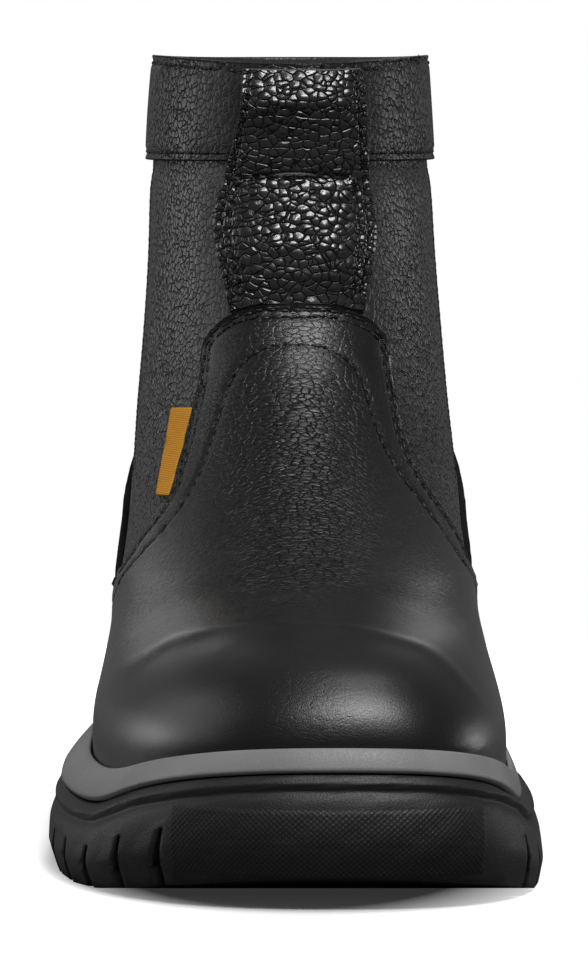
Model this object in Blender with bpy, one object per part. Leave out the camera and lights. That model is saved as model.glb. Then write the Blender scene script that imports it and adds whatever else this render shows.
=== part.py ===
"""Pull-on safety boot for the right foot: cup outsole, midsole, insole, leather upper and its overlays.

Metres, +Z up. The toe points to -Y, the outer (lateral) side of the foot is -X and the inner (medial)
side is +X. The origin is on the floor, under the middle of the sole. Every section of the boot is a
closed curve worked out from the length, ball width, instep height and heel height. "Turn" is the angle
round such a curve: 0 at the toe, negative on the lateral side, positive on the medial side, and half a
turn at the heel. "Rise" counts the upper's sections, from 0 at its lower edge to the collar.
"""
import math

import bmesh
import bpy
import numpy as np

MM = 0.001

# Driving dimensions
LENGTH = 306 * MM           # the sole, heel to toe
BALL_WIDTH = 117 * MM       # nominal width across the ball of the foot
HEEL_HEIGHT = 36 * MM       # floor to the upper's lower edge at the heel
INSTEP_HEIGHT = 72 * MM     # floor to the foot of the instep
COLLAR_HEIGHT = 190 * MM    # floor to the top of the collar

# Leather and clearances
WALL = 2.2 * MM             # the upper with its lining
OVERLAY = 1.7 * MM          # vamp, counter, collar band and strap
LAP = 1.2 * MM              # front shaft panel, standing over the back one at the side seams
TAG_THICKNESS = 1.0 * MM
GAP = 0.4 * MM              # between pieces that meet
INSOLE_THICKNESS = 4.0 * MM
INSOLE_SOFT_EDGE = 1.2 * MM

# The upper's sections, from its lower edge to the collar.
# Lengths are shares of LENGTH and widths shares of BALL_WIDTH. The back runs from the heel height (0)
# to the collar (1); side and front levels run from the floor (0) by the instep (1) to the collar (2).
SECTION_COLUMNS = (
    "back_y", "back_level", "side_level", "front_y", "front_level", "lateral", "medial",
    "widest", "medial_lead", "heel_round", "toe_round", "waist_lateral", "waist_medial", "swing",
)
SECTIONS = np.array((
    (.464, .000, 0.313, -.471, 0.458, .396, .395, .655, .075, 2.50, 2.60, .16, .24, .081),  # lower edge
    (.474, .065, 0.472, -.475, 0.521, .398, .397, .650, .075, 2.70, 2.60, .12, .18, .081),  # midsole rim
    (.477, .130, 0.590, -.467, 0.625, .383, .385, .640, .070, 2.85, 2.50, .07, .11, .077),  # cap side
    (.475, .182, 0.674, -.444, 0.713, .371, .371, .620, .060, 2.95, 2.35, .04, .06, .071),  # cap shoulder
    (.471, .227, 0.743, -.395, 0.782, .364, .362, .590, .050, 3.00, 2.20, .02, .03, .060),  # cap top
    (.467, .273, 0.813, -.314, 0.824, .366, .357, .550, .030, 2.95, 2.05, .00, .00, .043),  # cap ridge
    (.462, .321, 0.896, -.229, 0.866, .364, .356, .520, .010, 2.80, 2.00, .00, .00, .026),  # ball
    (.458, .377, 1.008, -.141, 1.000, .357, .350, .500, .000, 2.60, 2.00, .00, .00, .013),  # instep foot
    (.455, .442, 1.110, -.059, 1.127, .350, .344, .500, .000, 2.40, 2.00, .00, .00, .000),  # instep
    (.454, .519, 1.237, 0.007, 1.280, .344, .330, .500, .000, 2.27, 2.00, .00, .00, .000),  # instep top
    (.456, .610, 1.398, 0.047, 1.441, .328, .313, .500, .000, 2.22, 2.15, .00, .00, .000),  # throat
    (.460, .734, 1.619, 0.064, 1.636, .314, .294, .500, .000, 2.20, 2.25, .00, .00, .000),  # shaft
    (.464, .857, 1.814, 0.065, 1.814, .311, .284, .500, .000, 2.22, 2.30, .00, .00, .000),  # collar foot
    (.467, .994, 1.996, 0.064, 1.979, .296, .272, .500, .000, 2.25, 2.30, .00, .00, .000),  # collar top
))
TOP_RISE = len(SECTIONS) - 1
WAIST_AT = 0.38             # middle of the waist, as a share of the length from heel to toe
WAIST_SPREAD = 0.16
SIDE_SHIFT = 0.004          # share of BALL_WIDTH that centres the sole over the origin
TOE_LIFT_POWER = 2.6        # how late the lower edge climbs towards the toe

# Rings and columns that the upper and all its overlays share, so that their faces lie parallel
OUTER_RISES = (0, 0.5, 1, 1.5, 2, 2.5, 3, 3.5, 4, 4.5, 5, 5.5, 6, 6.5, 7, 7.5, 8, 8.5, 9, 9.5, 10,
               10.3, 10.65, 11, 11.5, 11.74, 11.78, 12.4, 13)
INNER_RISES = (0, 1, 2, 3, 4, 5, 6, 7, 8, 9, 10, 11, 12, 13)
COLUMNS_PER_SIDE = 22
SEAM_TURN = 1.35            # side seams, where the front shaft panel laps over the back one
SEAM_STEP = 0.012
LAP_RISES = (4.6, 5.4, 11.5, 11.74)     # the lap starts, is full, starts to fade, is gone
COLLAR_RISE = 11.78         # lower edge of the collar band
STRAP_CLIMB = (11.5, 11.74)             # the strap climbs over the collar band's lower edge

# Front-view outlines: height as a share of COLLAR_HEIGHT, half widths as shares of BALL_WIDTH
VAMP_EDGE = np.array((
    (0.669, 0.068, 0.068),
    (0.663, 0.120, 0.120),
    (0.655, 0.148, 0.148),
    (0.645, 0.168, 0.168),
    (0.632, 0.186, 0.186),
    (0.619, 0.197, 0.196),
    (0.577, 0.203, 0.204),
    (0.538, 0.215, 0.214),
    (0.500, 0.230, 0.225),
    (0.463, 0.246, 0.248),
    (0.426, 0.263, 0.284),
    (0.389, 0.305, 0.326),
    (0.362, 0.335, 0.347),
    (0.347, 0.351, 0.357),
))
STRAP_EDGE = np.array((
    (0.981, 0.109, 0.132),
    (0.932, 0.113, 0.143),
    (0.887, 0.127, 0.145),
    (0.839, 0.148, 0.152),
    (0.789, 0.174, 0.166),
    (0.761, 0.171, 0.169),
    (0.716, 0.157, 0.159),
    (0.668, 0.142, 0.145),
    (0.590, 0.140, 0.143),
))
TAG_CORNERS = ((0.538, -0.220), (0.536, -0.267), (0.427, -0.296), (0.428, -0.268))     # height, place across
VAMP_CLEARANCE = 0.5 * MM   # in the front view, between the vamp's top edge and the strap

# Edges at the sides of the boot, as a rise and a turn; the medial side mirrors the lateral one
VAMP_SIDE_EDGE = ((5.4, 1.31), (4.7, 1.45), (4, 1.54), (3, 1.62), (2, 1.685), (1, 1.745), (-0.2, 1.82))
COUNTER_EDGE = ((-0.2, 1.86), (1, 1.785), (2, 1.73), (3, 1.67), (4, 1.59), (4.7, 1.51), (5.5, 1.47),
                (6.3, 1.46), (7.0, 1.47), (7.3, 1.52), (7.5, 1.62), (7.65, 1.85), (7.75, 2.30), (7.8, 3.00))
VAMP_REACH_TURN = 1.95      # the vamp's and the counter's patterns are cut from wider panels
COUNTER_REACH_TURN = 1.25
VAMP_TOP_RISE = 10.65
COUNTER_TOP_RISE = 8.0
STRAP_FOOT_RISE = 9.5
TAG_RISES = (7, 9.5)
SEARCH_STEPS = 30
PROBE_STEP = 0.001          # in rise and turn, either side of a place whose slope is wanted
SHARP_ANGLE = math.radians(35)

# The sole: one plan for every level, with sizes as shares of LENGTH and BALL_WIDTH
SOLE_PLAN = {"widest": 0.66, "medial_lead": 0.075, "heel_round": 2.5, "toe_round": 2.5,
             "waist_lateral": 0.12, "waist_medial": 0.20, "swing": 0.085}
SIZE_COLUMNS = ("back_y", "front_y", "lateral", "medial")
OUTSOLE_LEVELS = (
    # back_y, front_y, lateral, medial, lower line, upper line, share of the way up between them
    (0.490, -0.489, 0.484, 0.478, "ground", "step", 0.00),      # tread
    (0.500, -0.500, 0.500, 0.488, "ground", "step", 0.40),      # side wall, widest
    (0.496, -0.498, 0.497, 0.480, "ground", "step", 0.88),      # wall shoulder
    (0.491, -0.493, 0.487, 0.465, "step", "parting", 0.06),     # groove under the band
    (0.493, -0.495, 0.489, 0.471, "step", "parting", 0.50),     # band, widest
    (0.489, -0.491, 0.475, 0.442, "step", "parting", 1.00),     # parting from the midsole
)
MIDSOLE_FOOT = (0.488, -0.490, 0.473, 0.440)
MIDSOLE_SWELL = (0.490, -0.492, 0.478, 0.446)
SWELL_SHARE = 0.18          # heights on the midsole's side, from the parting (0) to the rim (1)
SHOULDER_SHARE = 0.60
SHOULDER_MIX = 0.36         # from the swell (0) in to the rim (1)
LIP = 1.0 * MM              # midsole rim, where it stands round the upper
CUP_WALL = 6.0 * MM
CUP_FLOOR_INSET = 8.7 * MM
CUP_FLOOR = 14.0 * MM       # floor to the bottom of the cup that the midsole fills
PLUG_CLEARANCE = 1.0 * MM   # round the midsole's plug, inside the cup

# Lines along the sole's side: place as a share of LENGTH, heights as shares of HEEL_HEIGHT
GROUND = np.array((
    (-0.500, 0.240), (-0.445, 0.135), (-0.390, 0.050), (-0.330, 0.000), (-0.026, 0.000), (0.059, 0.125),
    (0.124, 0.180), (0.176, 0.180), (0.209, 0.000), (0.451, 0.000), (0.500, 0.069),
))
SIDE_LINE_COLUMNS = ("step", "parting", "rim")
SIDE_LINES = np.array((
    # place, step, parting, rim
    (-0.490, 0.755, 0.862, 1.035),
    (-0.440, 0.640, 0.765, 0.945),
    (-0.414, 0.585, 0.715, 0.890),
    (-0.398, 0.535, 0.650, 0.865),
    (-0.380, 0.458, 0.577, 0.832),
    (-0.360, 0.414, 0.538, 0.780),
    (-0.335, 0.405, 0.525, 0.735),
    (-0.300, 0.415, 0.530, 0.726),
    (-0.255, 0.425, 0.545, 0.736),
    (-0.160, 0.430, 0.570, 0.765),
    (0.000, 0.430, 0.595, 0.860),
    (0.131, 0.440, 0.625, 0.944),
    (0.294, 0.430, 0.640, 1.056),
    (0.490, 0.420, 0.640, 1.139),
))
EXTRA_PLACES = (-0.413, -0.370, -0.318, -0.258, 0.170, 0.182, 0.203, 0.214)    # toe wave, heel's front step
EXTRA_SPACING = 0.03        # least turn between those columns and the shared ones

# Tread grooves: each runs in under the sole and tapers off up the side wall
LATERAL_GROOVES = (-0.441, -0.402, -0.353, -0.304, -0.255, -0.206, -0.157, -0.108, -0.059,
                   0.262, 0.317, 0.372, 0.427)
MEDIAL_GROOVES = LATERAL_GROOVES[1:]
MIDDLE_GROOVES = (-0.330, -0.280, -0.230, -0.181, -0.132, -0.083, 0.290, 0.345, 0.400)
GROOVE_WIDTH = 3.4 * MM
GROOVE_NECK_WIDTH = 3.2 * MM            # where it leaves the tread for the side wall
GROOVE_TOP_WIDTH = 1.2 * MM
GROOVE_LEAN = 3.0 * MM      # towards the toe, at its top
GROOVE_DEPTH = 4.0 * MM
GROOVE_RUN = 20 * MM        # length under the sole, from the side wall's widest line
GROOVE_BITE = 3.4 * MM      # depth into the side wall at the foot
GROOVE_FADE = 1.1 * MM      # and at its top, where the wall leans in to meet it
GROOVE_TOP = 0.70           # how far up the side wall
MIDDLE_RUN = 34 * MM


def smooth_curve(stations, values, at):
    """Curve through the values at their stations that never overshoots them, read at each place."""
    stations = np.asarray(stations, float)
    values = np.asarray(values, float)
    span = np.diff(stations)[:, None]
    slope = np.diff(values, axis=0) / span
    before = slope[:-1]
    after = slope[1:]
    same_way = before * after > 0
    tangent = np.zeros_like(values)
    tangent[0] = slope[0]
    tangent[-1] = slope[-1]
    tangent[1:-1] = np.where(same_way, 2 * before * after / np.where(same_way, before + after, 1), 0)
    place = np.clip(np.asarray(at, float), stations[0], stations[-1])
    left = np.clip(np.searchsorted(stations, place, side="right") - 1, 0, len(stations) - 2)
    width = span[left]
    share = (place - stations[left])[:, None] / width
    from_left = (1 + 2 * share) * values[left] + share * width * tangent[left]
    from_right = (3 - 2 * share) * values[left + 1] - (1 - share) * width * tangent[left + 1]
    return (1 - share) ** 2 * from_left + share ** 2 * from_right


def plan_point(section, turn):
    """Plan of a section at each turn, with how far behind or ahead of its widest place that is."""
    along = (1 + np.cos(turn)) / 2
    on_medial = np.sin(turn) > 0
    widest = section["widest"] + np.where(on_medial, section["medial_lead"], 0)
    behind = np.clip((widest - along) / widest, 0, 1)
    ahead = np.clip((along - widest) / (1 - widest), 0, 1)
    heel_end = (1 - behind ** section["heel_round"]) ** (1 / section["heel_round"])
    toe_end = (1 - ahead ** section["toe_round"]) ** (1 / section["toe_round"])
    width = np.where(on_medial, section["medial"], section["lateral"])
    waist = np.where(on_medial, section["waist_medial"], section["waist_lateral"])
    waist = waist * np.exp(-((along - WAIST_AT) / WAIST_SPREAD) ** 2)
    half = heel_end * toe_end * width * (1 - waist)
    x = BALL_WIDTH * (np.sign(np.sin(turn)) * half + section["swing"] * ahead ** 2 + SIDE_SHIFT)
    y = LENGTH * (section["back_y"] + (section["front_y"] - section["back_y"]) * along)
    return x, y, behind, ahead


def level_height(level):
    """Height of a level: 0 is the floor, 1 the instep and 2 the collar."""
    return np.interp(level, (0, 1, 2), (0, INSTEP_HEIGHT, COLLAR_HEIGHT))


def wall_point(rise, turn):
    """Points of the upper's outer surface, one for each pair of a rise and a turn."""
    rise, turn = np.broadcast_arrays(np.asarray(rise, float), np.asarray(turn, float))
    rows = smooth_curve(np.arange(len(SECTIONS)), SECTIONS, rise)
    section = dict(zip(SECTION_COLUMNS, rows.T))
    x, y, behind, ahead = plan_point(section, turn)
    back = HEEL_HEIGHT + section["back_level"] * (COLLAR_HEIGHT - HEEL_HEIGHT)
    side = level_height(section["side_level"])
    front = level_height(section["front_level"])
    towards_back = behind ** 2 * (3 - 2 * behind)
    z = side + (back - side) * towards_back + (front - side) * ahead ** TOE_LIFT_POWER
    return np.stack((x, y, z), axis=-1)


def lifted(rise, turn, lift):
    """Points that stand off the upper's outer surface, square to it; its lower edge stays level."""
    rise, turn, lift = np.broadcast_arrays(
        np.asarray(rise, float), np.asarray(turn, float), np.asarray(lift, float))
    point = wall_point(rise, turn)
    round_wall = wall_point(rise, turn + PROBE_STEP) - wall_point(rise, turn - PROBE_STEP)
    above = wall_point(np.minimum(rise + PROBE_STEP, TOP_RISE), turn)
    below = wall_point(np.maximum(rise - PROBE_STEP, 0), turn)
    normal = np.cross(round_wall, above - below)
    normal[:, 2] = np.where(rise > 0, normal[:, 2], 0)
    normal /= np.linalg.norm(normal, axis=1, keepdims=True)
    return point + normal * lift[:, None]


def panel_lap(rise, turn):
    """How far the front shaft panel stands off the back panel."""
    height = np.interp(rise, LAP_RISES, (0, LAP, LAP, 0))
    return np.where(np.cos(turn) > math.cos(SEAM_TURN), height, 0)


def shared_turns():
    """Columns round the boot, from the heel by the lateral side and the toe back to the heel."""
    even = np.linspace(0, math.pi, COLUMNS_PER_SIDE + 1)
    away = np.abs(even - SEAM_TURN) > math.pi / COLUMNS_PER_SIDE / 2
    seam = (SEAM_TURN - SEAM_STEP, SEAM_TURN + SEAM_STEP)
    medial = np.sort(np.concatenate((even[away], seam)))
    return np.concatenate((-medial[:0:-1], medial[:-1]))


TURNS = shared_turns()


def line_height(name, y):
    """Height of one of the sole's side lines at each place along it."""
    place = np.asarray(y, float) / LENGTH
    if name == "ground":
        return HEEL_HEIGHT * smooth_curve(GROUND[:, 0], GROUND[:, 1:], place)[:, 0]
    heights = smooth_curve(SIDE_LINES[:, 0], SIDE_LINES[:, 1:], place)
    return HEEL_HEIGHT * heights[:, SIDE_LINE_COLUMNS.index(name)]


def sole_turns():
    """The shared columns, with more of them at the toe's wave and the heel's front step."""
    extra = np.arccos(-2 * np.array(EXTRA_PLACES))
    clear = [turn for turn in TURNS if min(abs(abs(turn) - extra)) > EXTRA_SPACING]
    return np.sort(np.concatenate((clear, extra, -extra)))


SOLE_TURNS = sole_turns()


def sole_ring(sizes, lower, upper, share):
    """One level of the sole's side, part of the way up between two of its lines."""
    section = dict(SOLE_PLAN)
    section.update(zip(SIZE_COLUMNS, sizes))
    x, y, _, _ = plan_point(section, SOLE_TURNS)
    z = line_height(lower, y) * (1 - share) + line_height(upper, y) * share
    return np.stack((x, y, z), axis=-1)


def inward(ring, distance):
    """A ring moved level towards its middle, square to its own outline."""
    along = np.roll(ring, -1, axis=0) - np.roll(ring, 1, axis=0)
    square = np.stack((-along[:, 1], along[:, 0], np.zeros(len(ring))), axis=-1)
    return ring + distance * square / np.linalg.norm(square, axis=1, keepdims=True)


def at_height(ring, height):
    """A ring at another height, or at another height for each of its points."""
    moved = ring.copy()
    moved[:, 2] = height
    return moved


def finish(name, colour, roughness):
    """Plain surface of one material."""
    material = bpy.data.materials.new(name)
    material.use_nodes = True
    shader = material.node_tree.nodes["Principled BSDF"]
    shader.inputs["Base Color"].default_value = (*colour, 1)
    shader.inputs["Roughness"].default_value = roughness
    material.diffuse_color = (*colour, 1)
    return material


def add_object(name, form, material, boot):
    """Object made from an edited mesh, with its faces turned outwards."""
    bmesh.ops.recalc_face_normals(form, faces=form.faces)
    if form.calc_volume(signed=True) < 0:
        bmesh.ops.reverse_faces(form, faces=form.faces)
    mesh = bpy.data.meshes.new(name)
    form.to_mesh(mesh)
    form.free()
    mesh.shade_smooth()
    mesh.set_sharp_from_angle(angle=SHARP_ANGLE)
    mesh.materials.append(material)
    piece = bpy.data.objects.new(name, mesh)
    piece.parent = boot
    bpy.context.scene.collection.objects.link(piece)
    return piece


def close_end(form, ring, pointed):
    """Closes a ring with rungs across it; a pointed ring has a single point at each end."""
    half = len(ring) // 2
    first = 1 if pointed else 0
    near = ring[first:half]
    far = ring[::-1][:len(near)]
    if pointed:
        form.faces.new((ring[0], near[0], far[0]))
        form.faces.new((near[-1], ring[half], far[-1]))
    for step in range(len(near) - 1):
        form.faces.new((near[step], near[step + 1], far[step + 1], far[step]))


def skin(rings, wrapped=False, pointed=True):
    """Closed form over a stack of rings: a wrapped one joins its last ring to its first."""
    form = bmesh.new()
    loops = [[form.verts.new(point) for point in ring] for ring in rings]
    following = loops[1:] + loops[:1] if wrapped else loops[1:]
    for lower, upper in zip(loops, following):
        for corner in range(len(lower)):
            form.faces.new((lower[corner - 1], lower[corner], upper[corner], upper[corner - 1]))
    if not wrapped:
        close_end(form, loops[0], pointed)
        close_end(form, loops[-1], pointed)
    return form


def flat_panel(rises, turns):
    """Flat slab with the upper's columns along X and its rings along Y; its top is the outer face."""
    rings = []
    for rise in rises:
        top = np.stack((turns, np.full(len(turns), rise), np.ones(len(turns))), axis=-1)
        rings.append(np.concatenate((top, at_height(top, 0)[::-1])))
    return skin(rings, pointed=False)


def prism(outline):
    """Closed form over an outline in X and Y that runs past both faces of a flat panel."""
    form = bmesh.new()
    ends = [[form.verts.new((*corner, height)) for corner in outline] for height in (-1, 2)]
    join_ends(form, *ends)
    return form


def join_ends(form, near, far):
    """Closes a form between two like polygons."""
    form.faces.new(near)
    form.faces.new(far)
    for corner in range(len(near)):
        form.faces.new((near[corner - 1], near[corner], far[corner], far[corner - 1]))


def rise_where(turn, height_at):
    """Rise at which each turn of the upper reaches the height that is asked for at its place."""
    low = np.zeros(len(turn))
    high = np.full(len(turn), float(TOP_RISE))
    for _ in range(SEARCH_STEPS):
        middle = (low + high) / 2
        point = wall_point(middle, turn)
        below = point[:, 2] < height_at(point)
        low = np.where(below, middle, low)
        high = np.where(below, high, middle)
    return high


def seen_from_front(across, height):
    """Turn and rise of the places on the overlays that the front view shows at each x and z."""
    across = np.asarray(across, float)
    side = np.sign(across)
    low = np.zeros(len(across))
    high = np.full(len(across), math.pi / 2)
    for _ in range(SEARCH_STEPS):
        middle = (low + high) / 2
        rise = rise_where(side * middle, lambda point: height)
        inside = side * lifted(rise, side * middle, LAP + OVERLAY)[:, 0] < np.abs(across)
        low = np.where(inside, middle, low)
        high = np.where(inside, high, middle)
    return np.stack((side * high, rise), axis=-1)


def front_outline(table, grow=0.0):
    """Pattern of a front-view outline, down the lateral edge and up the medial one, widened by grow."""
    fine = np.linspace(0, len(table) - 1, 2 * len(table) - 1)
    height, lateral, medial = smooth_curve(np.arange(len(table)), table, fine).T
    height = height * COLLAR_HEIGHT + grow
    down = seen_from_front((SIDE_SHIFT - lateral) * BALL_WIDTH - grow, height)
    up = seen_from_front((SIDE_SHIFT + medial) * BALL_WIDTH + grow, height)[::-1]
    return down, up


def side_edge(table):
    """Pattern of a side edge, as a smooth curve of turns and rises."""
    fine = np.linspace(0, len(table) - 1, 2 * len(table) - 1)
    rise, turn = smooth_curve(np.arange(len(table)), np.array(table), fine).T
    return np.stack((turn, rise), axis=-1)


def cut(piece, name, form, operation, boot, crossing=False):
    """Boolean of a piece with a hidden cutter; a crossing cutter has parts that meet one another."""
    cutter = add_object(name, form, piece.data.materials[0], boot)
    cutter.hide_render = True
    cutter.display_type = "WIRE"
    modifier = piece.modifiers.new(name, "BOOLEAN")
    modifier.operation = operation
    modifier.object = cutter
    modifier.use_self = crossing
    return cutter


def make_overlay(name, material, boot, rises, turns, pattern, under, thickness, clear_of=None):
    """Overlay cut flat to its pattern from the upper's own columns and rings, then laid on the upper."""
    slab = add_object(name + "_flat", flat_panel(rises, turns), material, boot)
    used = [slab, cut(slab, name + "_pattern", prism(pattern), "INTERSECT", boot)]
    if clear_of is not None:
        used.append(cut(slab, name + "_clearance", prism(clear_of), "DIFFERENCE", boot))
    bpy.context.view_layer.update()
    evaluated = slab.evaluated_get(bpy.context.evaluated_depsgraph_get())
    form = bmesh.new()
    form.from_mesh(evaluated.to_mesh())
    turn, rise, layer = np.array([corner.co for corner in form.verts], float).T
    laid = lifted(rise, turn, under(rise, turn) + thickness * layer)
    for corner, place in zip(form.verts, laid):
        corner.co = place
    for leftover in used:
        bpy.data.objects.remove(leftover, do_unlink=True)
    add_object(name, form, material, boot)


def make_upper(boot, leather):
    """Hollow shell from the lower edge to the collar, open at both, with the lap at its side seams."""
    outside = [lifted(rise, TURNS, panel_lap(rise, TURNS)) for rise in OUTER_RISES]
    inside = [lifted(rise, TURNS, -WALL) for rise in reversed(INNER_RISES)]
    return add_object("upper", skin(outside + inside, wrapped=True), leather, boot)


def on_panels(rise, turn):
    """Lift of the inner face of an overlay that lies on the shaft panels."""
    return panel_lap(rise, turn) + GAP


def under_strap(rise, turn):
    """Lift of the strap's inner face, which climbs from the front panel on to the collar band."""
    return np.interp(rise, STRAP_CLIMB, (LAP + GAP, OVERLAY + 2 * GAP))


def make_vamp(boot, leather):
    """Toe and instep piece, round-topped at the throat and swept back to the lower edge at the sides."""
    rises = [rise for rise in OUTER_RISES if rise <= VAMP_TOP_RISE]
    turns = TURNS[np.abs(TURNS) < VAMP_REACH_TURN]
    down, up = front_outline(VAMP_EDGE)
    side = side_edge(VAMP_SIDE_EDGE)
    pattern = np.concatenate((down, side * (-1, 1), side[::-1], up))
    make_overlay("vamp", leather, boot, rises, turns, pattern, on_panels, OVERLAY)


def make_counter(boot, leather):
    """Heel counter, from the vamp's back edge round the heel."""
    rises = [rise for rise in OUTER_RISES if rise <= COUNTER_TOP_RISE]
    turns = np.sort(TURNS % (2 * math.pi))
    turns = turns[np.abs(turns - math.pi) < math.pi - COUNTER_REACH_TURN]
    medial = side_edge(COUNTER_EDGE)
    lateral = medial[::-1] * (-1, 1) + (2 * math.pi, 0)
    pattern = np.concatenate((medial, lateral))
    make_overlay("heel_counter", leather, boot, rises, turns, pattern, on_panels, OVERLAY)


def make_collar_band(boot, leather):
    """Band round the top of the shaft."""
    rises = [rise for rise in OUTER_RISES if rise >= COLLAR_RISE]
    outside = [lifted(rise, TURNS, GAP + OVERLAY) for rise in rises]
    inside = [lifted(rise, TURNS, GAP) for rise in reversed(rises)]
    add_object("collar_band", skin(outside + inside, wrapped=True), leather, boot)


def make_front_strap(boot, leather):
    """Waisted strap down the front, from the collar to the vamp's round top."""
    rises = [rise for rise in OUTER_RISES if rise >= STRAP_FOOT_RISE]
    turns = TURNS[np.abs(TURNS) < SEAM_TURN]
    pattern = np.concatenate(front_outline(STRAP_EDGE))
    vamp_top = np.concatenate(front_outline(VAMP_EDGE, VAMP_CLEARANCE))
    make_overlay("front_strap", leather, boot, rises, turns, pattern, under_strap, OVERLAY, clear_of=vamp_top)


def make_side_tag(boot, cloth):
    """Small bare label, sewn in along the vamp's lateral edge."""
    rises = [rise for rise in OUTER_RISES if TAG_RISES[0] <= rise <= TAG_RISES[1]]
    turns = TURNS[(TURNS > -SEAM_TURN) & (TURNS < 0)]
    height, across = np.array(TAG_CORNERS).T
    pattern = seen_from_front((SIDE_SHIFT + across) * BALL_WIDTH, height * COLLAR_HEIGHT)
    make_overlay("side_tag", cloth, boot, rises, turns, pattern, on_panels, TAG_THICKNESS)


def groove_block(form, foot, square, levels):
    """Groove cutter between two levels: (height, start, end, lean towards the toe, width) for each."""
    sideways = np.array((-square[1], square[0], 0))
    to_toe = -np.sign(sideways[1]) * sideways
    ends = []
    for height, start, end, lean, width in levels:
        corners = []
        for distance, side in ((start, -0.5), (end, -0.5), (end, 0.5), (start, 0.5)):
            place = foot + square * distance + to_toe * (lean + side * width)
            corners.append(form.verts.new(place + np.array((0, 0, height))))
        ends.append(corners)
    join_ends(form, *ends)


def groove_cutters():
    """All the tread's grooves: along both sides, and across its middle."""
    form = bmesh.new()
    wall = sole_ring(OUTSOLE_LEVELS[1][:4], "ground", "step", 0)
    along = np.roll(wall, -1, axis=0) - np.roll(wall, 1, axis=0)
    for places, side in ((LATERAL_GROOVES, -1), (MEDIAL_GROOVES, 1)):
        on_side = np.sign(SOLE_TURNS) == side
        order = np.argsort(wall[on_side][:, 1])
        ring = wall[on_side][order]
        heading = along[on_side][order]
        for place in places:
            y = place * LENGTH
            foot = np.array((np.interp(y, ring[:, 1], ring[:, 0]), y, 0))
            slope = [np.interp(y, ring[:, 1], heading[:, axis]) for axis in (0, 1)]
            square = np.array((-slope[1], slope[0], 0)) / math.hypot(*slope)
            ground = line_height("ground", [y])[0]
            roof = ground + GROOVE_DEPTH
            top = ground + GROOVE_TOP * (line_height("step", [y])[0] - ground)
            groove_block(form, foot, square, ((-GROOVE_DEPTH, -GROOVE_RUN, GROOVE_RUN, 0, GROOVE_WIDTH),
                                              (roof, -GROOVE_RUN, GROOVE_RUN, 0, GROOVE_WIDTH)))
            groove_block(form, foot, square, ((roof - GAP, -GROOVE_RUN, GROOVE_BITE, 0, GROOVE_NECK_WIDTH),
                                              (top, -GROOVE_RUN, GROOVE_FADE, GROOVE_LEAN, GROOVE_TOP_WIDTH)))
    for place in MIDDLE_GROOVES:
        foot = np.array((0, place * LENGTH, 0))
        roof = line_height("ground", [place * LENGTH])[0] + GROOVE_DEPTH
        across = (-MIDDLE_RUN / 2, MIDDLE_RUN / 2, 0, GROOVE_WIDTH)
        groove_block(form, foot, np.array((1, 0, 0)), ((-GROOVE_DEPTH, *across), (roof, *across)))
    return form


def make_outsole(boot, rubber):
    """Cup outsole: tread, bulging side wall, a groove and a band, and the cup that holds the midsole."""
    rings = [sole_ring(level[:4], *level[4:]) for level in OUTSOLE_LEVELS]
    seat = inward(rings[-1], CUP_WALL)
    floor = at_height(inward(rings[-1], CUP_FLOOR_INSET), CUP_FLOOR)
    outsole = add_object("outsole", skin(rings + [seat, floor]), rubber, boot)
    cut(outsole, "tread_cutter", groove_cutters(), "DIFFERENCE", boot, crossing=True)


def make_midsole(boot, foam):
    """Midsole: a plug in the outsole's cup, a rounded side, and a lip round the foot of the upper."""
    parting = sole_ring(OUTSOLE_LEVELS[-1][:4], "step", "parting", 1)
    plug_floor = inward(parting, CUP_FLOOR_INSET + PLUG_CLEARANCE)
    plug_top = inward(parting, CUP_WALL + PLUG_CLEARANCE)
    foot = sole_ring(MIDSOLE_FOOT, "step", "parting", 1)
    swell = sole_ring(MIDSOLE_SWELL, "parting", "rim", SWELL_SHARE)
    lift = OVERLAY + 2 * GAP
    at_rim = rise_where(SOLE_TURNS, lambda point: line_height("rim", point[:, 1]))
    lip_inside = lifted(at_rim, SOLE_TURNS, lift)
    rim = line_height("rim", lip_inside[:, 1])
    lip_inside = at_height(lip_inside, rim)
    lip_outside = inward(lip_inside, -LIP)
    shoulder = swell * (1 - SHOULDER_MIX) + lip_outside * SHOULDER_MIX
    shoulder[:, 2] = foot[:, 2] * (1 - SHOULDER_SHARE) + rim * SHOULDER_SHARE
    lower_edge = wall_point(0, SOLE_TURNS)[:, 2]
    seat = at_height(lip_inside, lower_edge - GAP)
    rings = [at_height(plug_floor, CUP_FLOOR + GAP), at_height(plug_top, plug_top[:, 2] + GAP),
             at_height(foot, foot[:, 2] + GAP), swell, shoulder, lip_outside, lip_inside, seat]
    add_object("midsole", skin(rings), foam, boot)


def make_insole(boot, cloth):
    """Footbed inside the lower edge of the upper."""
    edge = inward(wall_point(0, TURNS), WALL + 2 * GAP)
    side = at_height(edge, edge[:, 2] + INSOLE_THICKNESS - INSOLE_SOFT_EDGE)
    top = at_height(inward(edge, INSOLE_SOFT_EDGE), edge[:, 2] + INSOLE_THICKNESS)
    add_object("insole", skin([edge, side, top]), cloth, boot)


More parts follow.
